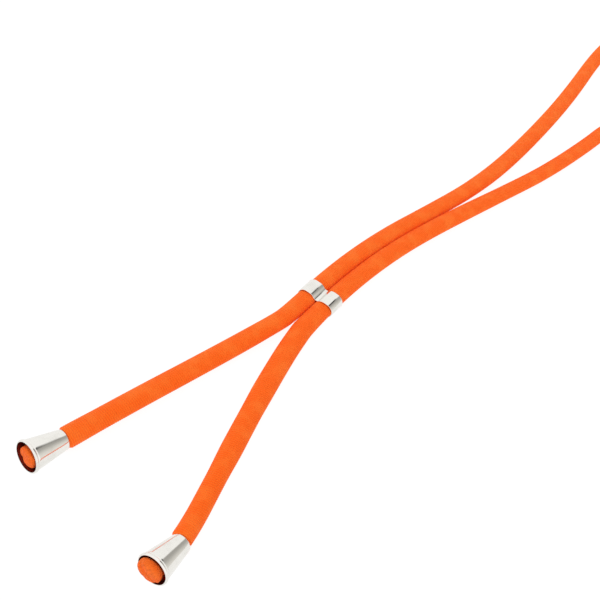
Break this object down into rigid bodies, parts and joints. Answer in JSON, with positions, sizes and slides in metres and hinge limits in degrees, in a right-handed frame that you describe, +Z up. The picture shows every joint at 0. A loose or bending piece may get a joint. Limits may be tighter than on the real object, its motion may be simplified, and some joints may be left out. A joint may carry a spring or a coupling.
{
  "type": "adjustable cord lanyard",
  "caption": "Doubled round cord lanyard with a sliding two-barrel sheet clamp, a bell-shaped metal end over a knot at each cord end, and its neck loop wound in a coil.",
  "frame": {"origin": "on the surface the lanyard lies on, under the middle of the box around the slider and the two bells", "axes": "+Y along the doubled cord from the bells towards the neck loop, +X to the right seen from above, +Z up"},
  "size_m": [0.1058, 0.5169, 0.0115],
  "materials": {
    "cord": "ribbed knitted jacket, matt with a soft sheen",
    "polished_metal": "polished nickel plate"
  },
  "bodies": {
    "cord": {"left_strand": "cord", "right_strand": "cord", "neck_loop_coil": "cord", "left_knot": "cord", "right_knot": "cord"},
    "slider": {"cord_slider": "polished_metal"},
    "left_bell": {"left_bell": "polished_metal"},
    "right_bell": {"right_bell": "polished_metal"}
  },
  "joints": [
    {"name": "slider_travel", "type": "hinge", "parent": "cord", "child": "slider", "pos_m": [0.3265, 0.073, 0], "axis": [0, 0, -1], "range_deg": [0, 12]},
    {"name": "left_bell_slide", "type": "slide", "parent": "cord", "child": "left_bell", "axis": [0.1696, 0.9855, 0], "range_m": [0, 0.024]},
    {"name": "right_bell_travel", "type": "hinge", "parent": "cord", "child": "right_bell", "pos_m": [-0.01067, -0.06052, 0], "axis": [0, 0, 1], "range_deg": [0, 12]}
  ]
}
